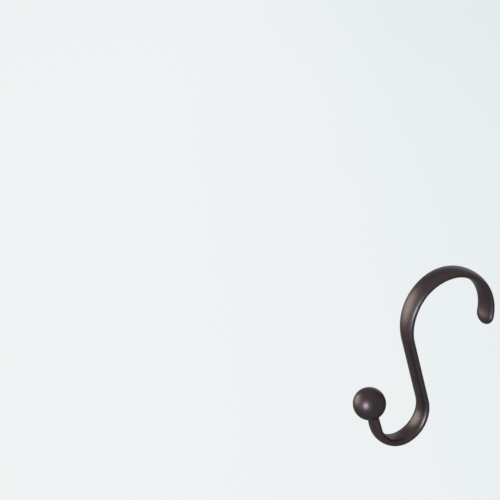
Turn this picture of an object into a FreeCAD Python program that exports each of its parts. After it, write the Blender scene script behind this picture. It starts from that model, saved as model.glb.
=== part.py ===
import FreeCAD, Part
import math
import os

# Shower curtain hook, cast in one piece: an oval bar bent like an S, with a ball at its tip.
# It hangs as in use: X lies along the rod, +Y is behind the rod and +Z is up.
# The origin is the middle of the seat, the spot of the upper bow that rests on the rod.
# Sizes are in millimetres and degrees.

# Oval bar. Its width lies along the rod and its thickness in the plane of the S.
thickness = 3.5
seat_width = 10.0  # over the rod and behind it
shank_width = 8.0
lower_bow_width = 8.5  # under the curtain's eyelet
neck_width = 7.2  # where the bar enters the ball

# Upper bow, from the rear end over the rod to the shank. Radii are those of its inner face.
rear_inner_radius = 15.75
rear_turn = 100.0
top_inner_radius = 16.75
top_turn = 60.0
front_inner_radius = 18.25
front_turn = 45.0
rear_end_round = 4.0  # length of the rounded end

shank_length = 27.0

# Lower bow, from the shank round the eyelet and up again. Radii are those of its inner face.
heel_inner_radius = 10.25
heel_turn = 91.0
toe_inner_radius = 8.25
toe_turn = 89.0

# Tip
neck_length = 5.15  # bare bar between the lower bow and the ball
ball_diameter = 12.7
crease_fillet = 0.4  # where the bar enters the ball

half = thickness / 2
ball_radius = ball_diameter / 2
rod_way = FreeCAD.Vector(1, 0, 0)


def along(heading):
    """Unit vector in the plane of the S, turned by heading from +Y towards +Z."""
    angle = math.radians(heading)
    return FreeCAD.Vector(0, math.cos(angle), math.sin(angle))


def across(heading):
    """Unit vector to the left of the way the bar runs, in the plane of the S."""
    return along(heading + 90)


def line_piece(start, heading, length):
    """A straight stretch of the centre line, with its end and the heading there."""
    end = start + along(heading) * length
    return Part.makeLine(start, end), end, heading


def arc_piece(start, heading, radius, turn):
    """A bend of the centre line. A positive turn bends to the left."""
    side = math.copysign(1, turn)
    centre = start + across(heading) * (radius * side)
    middle = centre - across(heading + turn / 2) * (radius * side)
    end = centre - across(heading + turn) * (radius * side)
    return Part.Arc(start, middle, end).toShape(), end, heading + turn


def rear_start():
    """Where the centre line starts, behind the rod, so that the seat comes to the origin."""
    radius = rear_inner_radius + half
    heading = 180 - rear_turn
    centre = FreeCAD.Vector(0, 0, half - radius)
    return centre - across(heading) * radius, heading


def centre_line():
    """The edges of the S, and its joints as pairs of point and heading."""
    bends = [
        (arc_piece, rear_inner_radius + half, rear_turn),
        (arc_piece, top_inner_radius + half, top_turn),
        (arc_piece, front_inner_radius + half, front_turn),
        (line_piece, shank_length),
        (arc_piece, heel_inner_radius + half, -heel_turn),
        (arc_piece, toe_inner_radius + half, -toe_turn),
        (line_piece, neck_length + ball_radius),
    ]
    point, heading = rear_start()
    edges, joints = [], [(point, heading)]
    for piece, *sizes in bends:
        edge, point, heading = piece(point, heading, *sizes)
        edges.append(edge)
        joints.append((point, heading))
    return edges, joints


def oval(joint, width):
    """The bar's section at a joint of the centre line."""
    point, heading = joint
    ellipse = Part.Ellipse(point + rod_way * (width / 2), point + across(heading) * half, point)
    return Part.Wire([ellipse.toShape()])


def bar(edges, joints):
    """The oval carried along the centre line, with its own width at each place that has one."""
    rear, seat, shoulder, shank_top, shank_foot, bottom, toe, tip = joints
    sweep = Part.BRepOffsetAPI.MakePipeShell(Part.Wire(edges))
    sweep.setBiNormalMode(rod_way)
    sweep.add(oval(rear, seat_width))
    sweep.add(oval(seat, seat_width))
    sweep.add(oval(shoulder, (seat_width + shank_width) / 2))
    sweep.add(oval(shank_top, shank_width))
    sweep.add(oval(shank_foot, shank_width))
    sweep.add(oval(bottom, lower_bow_width))
    sweep.add(oval(toe, (lower_bow_width + neck_width) / 2))
    sweep.add(oval(tip, neck_width))
    sweep.build()
    sweep.makeSolid()
    return sweep.shape()


def rounded_end(joint):
    """Half an ellipsoid on the rear end, as wide and thick as the bar there."""
    point, heading = joint
    columns = [
        rod_way * (seat_width / 2),
        across(heading) * half,
        along(heading) * -rear_end_round,
        point,
    ]
    rows = [[column[i] for column in columns] for i in range(3)]
    stretch = FreeCAD.Matrix(*rows[0], *rows[1], *rows[2])
    dome = Part.makeSphere(1, FreeCAD.Vector(), FreeCAD.Vector(0, 0, 1), 0, 90, 360)
    return dome.transformGeometry(stretch)


def crease_edges(shape):
    """The edges where the bar enters the ball."""
    found = []
    for edge in shape.Edges:
        faces = shape.ancestorsOfType(edge, Part.Face)
        kinds = {isinstance(face.Surface, Part.Sphere) for face in faces}
        if kinds == {True, False}:
            found.append(edge)
    return found


def hook():
    """The whole casting."""
    edges, joints = centre_line()
    ball = Part.makeSphere(ball_radius, joints[-1][0])
    body = bar(edges, joints).fuse([rounded_end(joints[0]), ball])
    crease = min(crease_fillet, neck_length / 4)
    return body.makeFillet(crease, crease_edges(body)).Solids[0]


os.makedirs("parts", exist_ok=True)
hook().exportStep("parts/hook.step")
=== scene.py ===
from math import pi, radians

import bpy
import numpy as np
from mathutils import Matrix, Vector


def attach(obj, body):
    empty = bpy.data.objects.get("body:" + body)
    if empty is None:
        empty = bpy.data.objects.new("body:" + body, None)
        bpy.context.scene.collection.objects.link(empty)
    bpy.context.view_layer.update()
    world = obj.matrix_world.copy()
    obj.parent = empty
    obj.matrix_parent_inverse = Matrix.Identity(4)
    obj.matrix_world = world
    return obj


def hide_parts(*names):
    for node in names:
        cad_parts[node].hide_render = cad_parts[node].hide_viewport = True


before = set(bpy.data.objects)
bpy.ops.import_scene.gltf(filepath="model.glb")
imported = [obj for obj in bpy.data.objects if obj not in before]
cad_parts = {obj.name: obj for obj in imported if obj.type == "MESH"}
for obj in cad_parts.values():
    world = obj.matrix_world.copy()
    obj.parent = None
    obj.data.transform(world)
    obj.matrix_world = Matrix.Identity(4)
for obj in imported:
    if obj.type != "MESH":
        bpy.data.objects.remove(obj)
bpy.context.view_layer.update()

mm = 0.001


def addObject(name, data):
    thing = bpy.data.objects.new(name, data)
    bpy.context.scene.collection.objects.link(thing)
    return thing


def smoothMesh(name, points, faces):
    mesh = bpy.data.meshes.new(name)
    mesh.from_pydata(points.tolist(), [], faces)
    mesh.polygons.foreach_set("use_smooth", np.ones(len(mesh.polygons), bool))
    mesh.update()
    return mesh


# Shape of the hook

hook = {  # millimetres and degrees, as it hangs: X across the S, +Y to the rear, seat at the origin
    "thickness": 3.5,
    "bends": [  # inner radius and turn, from the rear end to the tip; a straight has radius 0 and its length
        (15.75, 100), (16.75, 60), (18.25, 45), (0, 27), (10.25, -91), (8.25, -89), (0, 5.15),
    ],
    "widths": [10, 10, 9, 8, 8, 8.5, 7.8, 7.4],  # of the oval bar, at the ends of the stretches above
    "rearRound": 4.0,  # length of the rounded rear end
    "ballDiameter": 12.7,
    "creaseBlend": 0.55,  # softness of the corner where the bar enters the ball
    "seatRub": 7.0,  # reach of the rubbed spot on the seat, along the bar
    "eyeletRub": 6.0,  # reach of the rubbed spot under the eyelet
    "eyeletRubShift": 3.0,  # from the lowest joint of the bends to the middle of that spot
    "sideSharpness": 6,  # how closely the edge mark keeps to the narrow sides
    "lineSteps": 40000,  # small steps that the centre line is summed from
    "aroundCount": 128,  # points round the section
    "alongStep": 0.35,
    "rearRows": 14,
    "neckRows": 34,
    "neckCrowding": 1.6,  # above 1 the rows of the neck crowd towards the ball
    "ballRows": 76,
    "ballCrowding": 1.25,  # above 1 the rows of the ball crowd towards the neck
}


def wayAlong(size):
    # The centre line: heading grows evenly with length along each bend, and the line is the sum of small
    # steps in that heading. Returns the joints as lengths, and functions of length: place (y, z), heading
    # and half width.
    half = size["thickness"] / 2
    lengths, turns = [], []
    for radius, turn in size["bends"]:
        lengths.append(turn if radius == 0 else (radius + half) * radians(abs(turn)))
        turns.append(0 if radius == 0 else radians(turn))
    joints = np.concatenate([[0], np.cumsum(lengths)])
    headings = pi - turns[0] + np.concatenate([[0], np.cumsum(turns)])  # the seat is level, heading forwards
    fine = np.linspace(0, joints[-1], size["lineSteps"] + 1)
    middle = np.interp((fine[1:] + fine[:-1]) / 2, joints, headings)
    steps = np.diff(fine)
    y = np.concatenate([[0], np.cumsum(np.cos(middle) * steps)])
    z = np.concatenate([[0], np.cumsum(np.sin(middle) * steps)])
    y -= np.interp(joints[1], fine, y)
    z -= np.interp(joints[1], fine, z) - half

    def halfWidth(s):
        # Eased from joint to joint: slope nought at each, so the bar swells and narrows gently.
        index = np.clip(np.searchsorted(joints, s, side="right") - 1, 0, len(joints) - 2)
        share = np.clip((s - joints[index]) / (joints[index + 1] - joints[index]), 0, 1)
        ease = share * share * (3 - 2 * share)
        widths = np.array(size["widths"], float)
        return (widths[index] * (1 - ease) + widths[index + 1] * ease) / 2

    def place(s):
        return np.interp(s, fine, y), np.interp(s, fine, z)

    def heading(s):
        return np.interp(s, joints, headings)

    return joints, place, heading, halfWidth


def barRows(size, joints, place, heading, halfWidth, around):
    # Ellipses square to the centre line: the half width times the cosine of the angle goes along X, and half
    # the thickness times its sine along the normal. Over the rounded rear end both shrink as the height of a
    # quarter circle does, which makes half an ellipsoid.
    half = size["thickness"] / 2
    cap = np.linspace(0, pi / 2, size["rearRows"] + 1)[1:]
    behind = -size["rearRound"] * np.cos(cap)
    ahead = np.arange(size["alongStep"], joints[-2], size["alongStep"])
    s = np.concatenate([behind, ahead])
    scale = np.concatenate([np.sin(cap), np.ones(len(ahead))])
    onLine, offLine = np.maximum(s, 0), np.minimum(s, 0)
    h = heading(onLine)
    y, z = place(onLine)
    y = y + np.cos(h) * offLine
    z = z + np.sin(h) * offLine
    wide = (halfWidth(onLine) * scale)[:, None] * np.cos(around)
    thick = (half * scale)[:, None] * np.sin(around)
    outY = y[:, None] - np.sin(h)[:, None] * thick
    outZ = z[:, None] + np.cos(h)[:, None] * thick
    rows = np.stack([wide, outY, outZ], 2)
    startY, startZ = place(0.0)
    turn = heading(0.0)
    pole = [0, startY - np.cos(turn) * size["rearRound"], startZ - np.sin(turn) * size["rearRound"]]
    return rows, np.array(pole), s


def tipRows(size, joints, place, heading, halfWidth, around):
    # Rays from the ball's centre, at an angle from the bar. Each is as long as the ball's radius or as the
    # way to the bar's surface, whichever is more, with a smooth maximum that rounds the corner between them.
    half = size["thickness"] / 2
    radius = size["ballDiameter"] / 2
    turn = heading(joints[-1])
    y, z = place(joints[-1])
    centre = np.array([0, y + np.cos(turn) * radius, z + np.sin(turn) * radius])
    forward = np.array([0, np.cos(turn), np.sin(turn)])
    normal = np.array([0, -np.sin(turn), np.cos(turn)])
    neckStart = joints[-1] - joints[-2] + radius
    a = halfWidth(joints[-1])
    rim = np.hypot(a * np.cos(around), half * np.sin(around))  # the bar's reach from its line at each angle
    crease = np.sqrt(radius ** 2 - rim ** 2)  # where the bar meets the ball, along the line
    share = np.linspace(0, 1, size["neckRows"])[:, None]
    back = neckStart + (crease[None, :] - neckStart) * (1 - (1 - share) ** size["neckCrowding"])
    wide = halfWidth(joints[-1] + radius - back)
    reach = np.hypot(wide * np.cos(around), half * np.sin(around))
    neckAngle = np.arctan2(reach, back)
    share = np.linspace(0, 1, size["ballRows"] + 1)[1:-1, None]
    ballAngle = neckAngle[-1] + (pi - neckAngle[-1]) * share ** size["ballCrowding"]
    angle = np.vstack([neckAngle, ballAngle])
    reach = np.vstack([reach, np.repeat(rim[None, :], len(ballAngle), 0)])
    toBar = np.where(angle < pi / 2, reach / np.maximum(np.sin(angle), 1e-6), 0)  # never divided by nought
    blend = size["creaseBlend"]
    mix = np.clip(0.5 + 0.5 * (toBar - radius) / blend, 0, 1)
    length = radius + (toBar - radius) * mix + blend * mix * (1 - mix) * 0.5
    wideShare = a * np.cos(around) / rim
    thickShare = half * np.sin(around) / rim
    outX = length * np.sin(angle) * wideShare
    outN = length * np.sin(angle) * thickShare
    along = -length * np.cos(angle)
    rows = centre + outX[:, :, None] * np.array([1, 0, 0]) + outN[:, :, None] * normal
    rows = rows + along[:, :, None] * forward
    return rows, centre + forward * radius


def closedTube(name, rows, firstPole, lastPole, marks):
    # A grid of rows and columns that closes on itself round each row, with one point at either end. Each
    # face goes to the next row before the next column, so that it points outwards.
    rowCount, count = rows.shape[:2]
    points = np.vstack([rows.reshape(-1, 3), firstPole, lastPole]) * mm
    row, column = np.meshgrid(np.arange(rowCount - 1), np.arange(count), indexing="ij")
    nextColumn = (column + 1) % count
    quads = np.stack([row * count + column, (row + 1) * count + column,
                      (row + 1) * count + nextColumn, row * count + nextColumn], 2).reshape(-1, 4)
    ring = np.arange(count)
    nextRing = (ring + 1) % count
    first = np.stack([np.full(count, rowCount * count), ring, nextRing], 1)
    base = (rowCount - 1) * count
    last = np.stack([base + ring, np.full(count, rowCount * count + 1), base + nextRing], 1)
    mesh = smoothMesh(name, points, quads.tolist() + first.tolist() + last.tolist())
    for markName, values in marks.items():
        mark = mesh.attributes.new(markName, "FLOAT", "POINT")
        mark.data.foreach_set("value", np.append(values.ravel(), [0, 0]).astype(np.float32))
    return addObject(name, mesh)


def makeHook(size):
    joints, place, heading, halfWidth = wayAlong(size)
    around = np.linspace(0, 2 * pi, size["aroundCount"], endpoint=False)
    bar, rearPole, lengths = barRows(size, joints, place, heading, halfWidth, around)
    tip, tipPole = tipRows(size, joints, place, heading, halfWidth, around)
    rows = np.concatenate([bar, tip])
    seat, bottom = joints[1], joints[5]
    edge = np.zeros(rows.shape[:2])
    edge[:len(bar)] = np.abs(np.cos(around)) ** size["sideSharpness"]  # 1 along the bar's two narrow sides
    # Each rubbed spot fades with the square of the distance along the bar, and keeps to one broad side.
    rub = np.zeros(rows.shape[:2])
    inner = np.clip(np.sin(around), 0, 1) ** 2  # the hollow side of the upper bow
    rub[:len(bar)] = np.exp(-((lengths - seat) / size["seatRub"]) ** 2)[:, None] * inner
    outer = np.clip(-np.sin(around), 0, 1) ** 2  # the side of the eyelet in the lower bow
    eyelet = (lengths - bottom - size["eyeletRubShift"]) / size["eyeletRub"]
    rub[:len(bar)] += np.exp(-eyelet ** 2)[:, None] * outer
    return closedTube("castHook", rows, rearPole, tipPole, {"edge": edge, "rub": rub})


# Helpers for the materials

def link(tree, source, output, target, socket):
    tree.links.new(source.outputs[output], target.inputs[socket])


def mathNode(tree, operation):
    node = tree.nodes.new("ShaderNodeMath")
    node.operation = operation
    return node


def rangeNode(tree, span):
    node = tree.nodes.new("ShaderNodeMapRange")
    node.inputs["From Min"].default_value, node.inputs["From Max"].default_value = span
    return node


def noiseNode(tree, place, size, detail):
    node = tree.nodes.new("ShaderNodeTexNoise")
    node.inputs["Scale"].default_value = 1 / size
    node.inputs["Detail"].default_value = detail
    link(tree, place, "Object", node, "Vector")
    return node


def markNode(tree, name):
    node = tree.nodes.new("ShaderNodeAttribute")
    node.attribute_name = name
    return node


def colourMix(tree, first, second):
    # From the first colour to the second by Factor. Its output number 2 is the colour.
    node = tree.nodes.new("ShaderNodeMix")
    node.data_type = "RGBA"
    node.inputs["A"].default_value = (*first, 1)
    node.inputs["B"].default_value = (*second, 1)
    return node


# Finish of the hook

bronze = {  # linear colours, sizes in metres
    "body": (0.0468, 0.0344, 0.0350),
    "bodyLight": (0.0508, 0.0376, 0.0378),
    "worn": (0.072, 0.051, 0.045),
    "edgeTint": (0.54, 0.54, 0.54),
    "mottleSize": 0.0045,
    "mottleDetail": 4,
    "mottleRoughness": 0.6,
    "mottleSpan": (0.35, 0.70),  # of the noise, over which body passes into bodyLight
    "grainSize": 0.00024,
    "grainDetail": 3,
    "grainSpan": (0.3, 0.7),  # of the noise, over which the roughness goes through its two values
    "grainDepth": 0.0000009,
    "roughness": (0.385, 0.415),
    "wornRoughness": 0.36,
    "sideWear": 0.25,  # wear of the narrow sides, where that of the seats is 1
}


def bronzeMaterial(look):
    material = bpy.data.materials.new("darkBronze")
    material.use_nodes = True
    tree = material.node_tree
    shader = tree.nodes["Principled BSDF"]
    shader.inputs["Metallic"].default_value = 1.0
    shader.inputs["Specular Tint"].default_value = (*look["edgeTint"], 1)
    place = tree.nodes.new("ShaderNodeTexCoord")
    mottle = noiseNode(tree, place, look["mottleSize"], look["mottleDetail"])
    mottle.inputs["Roughness"].default_value = look["mottleRoughness"]
    grain = noiseNode(tree, place, look["grainSize"], look["grainDetail"])

    colour = colourMix(tree, look["body"], look["bodyLight"])
    spread = rangeNode(tree, look["mottleSpan"])
    link(tree, mottle, "Fac", spread, "Value")
    link(tree, spread, "Result", colour, "Factor")

    wear = mathNode(tree, "MULTIPLY_ADD")  # rubbed seats, and a little along the narrow sides
    wear.inputs[1].default_value = look["sideWear"]
    link(tree, markNode(tree, "edge"), "Fac", wear, 0)
    link(tree, markNode(tree, "rub"), "Fac", wear, 2)
    patchy = mathNode(tree, "MULTIPLY")  # broken up by the mottling
    patchy.use_clamp = True
    link(tree, wear, 0, patchy, 0)
    link(tree, spread, "Result", patchy, 1)
    worn = colourMix(tree, look["body"], look["worn"])
    link(tree, colour, 2, worn, "A")
    link(tree, patchy, 0, worn, "Factor")
    link(tree, worn, 2, shader, "Base Color")

    satin = rangeNode(tree, look["grainSpan"])
    satin.inputs["To Min"].default_value, satin.inputs["To Max"].default_value = look["roughness"]
    link(tree, grain, "Fac", satin, "Value")
    smooth = tree.nodes.new("ShaderNodeMix")
    smooth.inputs["B"].default_value = look["wornRoughness"]
    link(tree, satin, "Result", smooth, "A")
    link(tree, patchy, 0, smooth, "Factor")
    link(tree, smooth, "Result", shader, "Roughness")

    bump = tree.nodes.new("ShaderNodeBump")
    bump.inputs["Strength"].default_value = 1.0
    bump.inputs["Distance"].default_value = look["grainDepth"]
    link(tree, grain, "Fac", bump, "Height")
    link(tree, bump, "Normal", shader, "Normal")
    return material


# Floor, backdrop, light and camera

stage = {  # metres
    "floor": -0.42,
    "reach": 6.0,  # from the hook to the foot of the backdrop
    "sweep": 1.5,  # radius of the curve between floor and backdrop
    "sweepPoints": 25,
    "height": 4.0,
    "width": 14.0,
    "nearEdge": -5.0,
    # painted light: the left colour is the paper painted as more lit, the right as more shaded
    "leftPaintedLit": (0.872, 0.892, 0.896),
    "rightPaintedShade": (0.780, 0.842, 0.864),
    "passage": (-0.25, 0.55),  # to the side, where the one passes into the other
    "glow": 0.985,  # share of the pale colour that is there without the lamps
}
view = {  # as the photograph was taken; degrees, metres, lens and sensor in millimetres
    "azimuth": 63.97, "elevation": 20.58, "roll": -1.14,
    "aim": (-0.04112, -0.06391, 0.0090), "distance": 0.53577,
    "lens": 100.8, "sensor": 36, "clip": (0.01, 100),
}
middle = Vector((0, -0.017, -0.030))  # of the hook, where the lamps point
lamps = {  # azimuth, elevation, distance, width, height, power, colour; azimuth 0 is to the front, -Y
    "windowLeft": (-52, 9, 1.5, 1.24, 1.12, 28.5, (0.92, 1.0, 0.86)),
    "windowGlow": (-17, 14, 2.0, 1.80, 2.00, 11.0, (0.98, 0.96, 0.90)),
    "coolFront": (34, 9, 1.1, 0.40, 0.56, 23.0, (0.70, 0.82, 1.0)),
    "overhead": (-170, 80, 2.0, 2.2, 3.4, 4.5, (0.95, 1.0, 0.97)),
    "coolBehind": (-143, 13, 2.2, 4.2, 0.7, 23.0, (0.80, 0.87, 1.0)),
}
air = {  # linear colours of the world
    "light": (0.32, 0.335, 0.357),  # as it lights matt things
    "seen": (0.80, 0.84, 0.855),  # as it is seen, mirrored or looked at through glass
}


def directionOf(azimuth, elevation):
    a, e = radians(azimuth), radians(elevation)
    return Vector((np.sin(a) * np.cos(e), -np.cos(a) * np.cos(e), np.sin(e)))


away = -np.array(directionOf(view["azimuth"], 0))  # level, from the front of the set to the backdrop
side = np.array(directionOf(view["azimuth"] + 90, 0))  # level, along the backdrop to its right


def makeBackdrop(size):
    # One sheet: a profile of level floor, quarter circle and upright wall, carried sideways.
    bend = np.linspace(0, pi / 2, size["sweepPoints"])
    curve = size["reach"] + size["sweep"] * np.sin(bend)
    out = np.concatenate([[size["nearEdge"]], curve, [size["reach"] + size["sweep"]]])
    up = np.concatenate([[0], size["sweep"] * (1 - np.cos(bend)), [size["height"]]]) + size["floor"]
    sides = np.array([-0.5, 0.5]) * size["width"]
    points = out[:, None, None] * away + sides[None, :, None] * side
    points = points + up[:, None, None] * np.array([0, 0, 1])
    row = np.arange(len(out) - 1) * 2
    faces = np.stack([row, row + 1, row + 3, row + 2], 1)
    sheet = addObject("backdrop", smoothMesh("backdrop", points.reshape(-1, 3), faces.tolist()))
    sheet.data.materials.append(paleMaterial(size))


def paintedSideLight(tree, size):
    # The sheet is painted lighter at the left and darker at the right, as painted light falling from the
    # left: its colour goes by the level distance to the side.
    place = tree.nodes.new("ShaderNodeTexCoord")
    measure = tree.nodes.new("ShaderNodeVectorMath")
    measure.operation = "DOT_PRODUCT"
    measure.inputs[1].default_value = side
    link(tree, place, "Object", measure, 0)
    ease = rangeNode(tree, size["passage"])
    ease.interpolation_type = "SMOOTHSTEP"
    link(tree, measure, "Value", ease, "Value")
    colour = colourMix(tree, size["leftPaintedLit"], size["rightPaintedShade"])
    link(tree, ease, "Result", colour, "Factor")
    return colour


def seenShare(tree):
    # 1 for what the camera sees straight, in a mirror or through glass, and 0 for plain light.
    path = tree.nodes.new("ShaderNodeLightPath")
    seen = mathNode(tree, "MAXIMUM")
    link(tree, path, "Is Camera Ray", seen, 0)
    link(tree, path, "Is Glossy Ray", seen, 1)
    through = mathNode(tree, "MAXIMUM")
    link(tree, seen, 0, through, 0)
    link(tree, path, "Is Transmission Ray", through, 1)
    return through


def paleMaterial(size):
    material = bpy.data.materials.new("palePaper")
    material.use_nodes = True
    tree = material.node_tree
    tree.nodes.clear()
    colour = paintedSideLight(tree, size)
    paint = tree.nodes.new("ShaderNodeBsdfDiffuse")
    glow = tree.nodes.new("ShaderNodeEmission")
    link(tree, colour, 2, paint, "Color")
    link(tree, colour, 2, glow, "Color")
    share = mathNode(tree, "MULTIPLY")
    share.inputs[1].default_value = size["glow"]
    link(tree, seenShare(tree), 0, share, 0)
    mix = tree.nodes.new("ShaderNodeMixShader")
    link(tree, share, 0, mix, 0)
    link(tree, paint, "BSDF", mix, 1)
    link(tree, glow, "Emission", mix, 2)
    output = tree.nodes.new("ShaderNodeOutputMaterial")
    link(tree, mix, "Shader", output, "Surface")
    return material


def makeLamps(table):
    for name, (azimuth, elevation, distance, width, height, power, colour) in table.items():
        lamp = bpy.data.lights.new(name, "AREA")
        lamp.shape = "ELLIPSE"
        lamp.size, lamp.size_y = width, height
        lamp.energy = power
        lamp.color = colour
        way = directionOf(azimuth, elevation)
        holder = addObject(name, lamp)
        holder.location = middle + way * distance
        holder.rotation_euler = way.to_track_quat("Z", "Y").to_euler()


def makeAir(look):
    world = bpy.data.worlds.new("air")
    world.use_nodes = True
    tree = world.node_tree
    colour = colourMix(tree, look["light"], look["seen"])
    link(tree, seenShare(tree), 0, colour, "Factor")
    link(tree, colour, 2, tree.nodes["Background"], "Color")
    bpy.context.scene.world = world


def makeCamera(look):
    data = bpy.data.cameras.new("camera")
    data.sensor_width = look["sensor"]
    data.lens = look["lens"]
    data.clip_start, data.clip_end = look["clip"]
    turn = Matrix.Rotation(radians(look["azimuth"]), 4, "Z")
    turn @= Matrix.Rotation(pi / 2 - radians(look["elevation"]), 4, "X")
    turn @= Matrix.Rotation(radians(look["roll"]), 4, "Z")
    place = Vector(look["aim"]) + directionOf(look["azimuth"], look["elevation"]) * look["distance"]
    camera = addObject("camera", data)
    camera.matrix_world = Matrix.Translation(place) @ turn
    bpy.context.scene.camera = camera


castHook = makeHook(hook)
castHook.data.materials.append(bronzeMaterial(bronze))
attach(castHook, "root")
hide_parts("hook")
print("hook made:", len(castHook.data.polygons), "faces")

makeBackdrop(stage)
makeLamps(lamps)
makeAir(air)
makeCamera(view)
bpy.context.scene.view_settings.view_transform = "Standard"
print("floor, lamps, air and camera set")
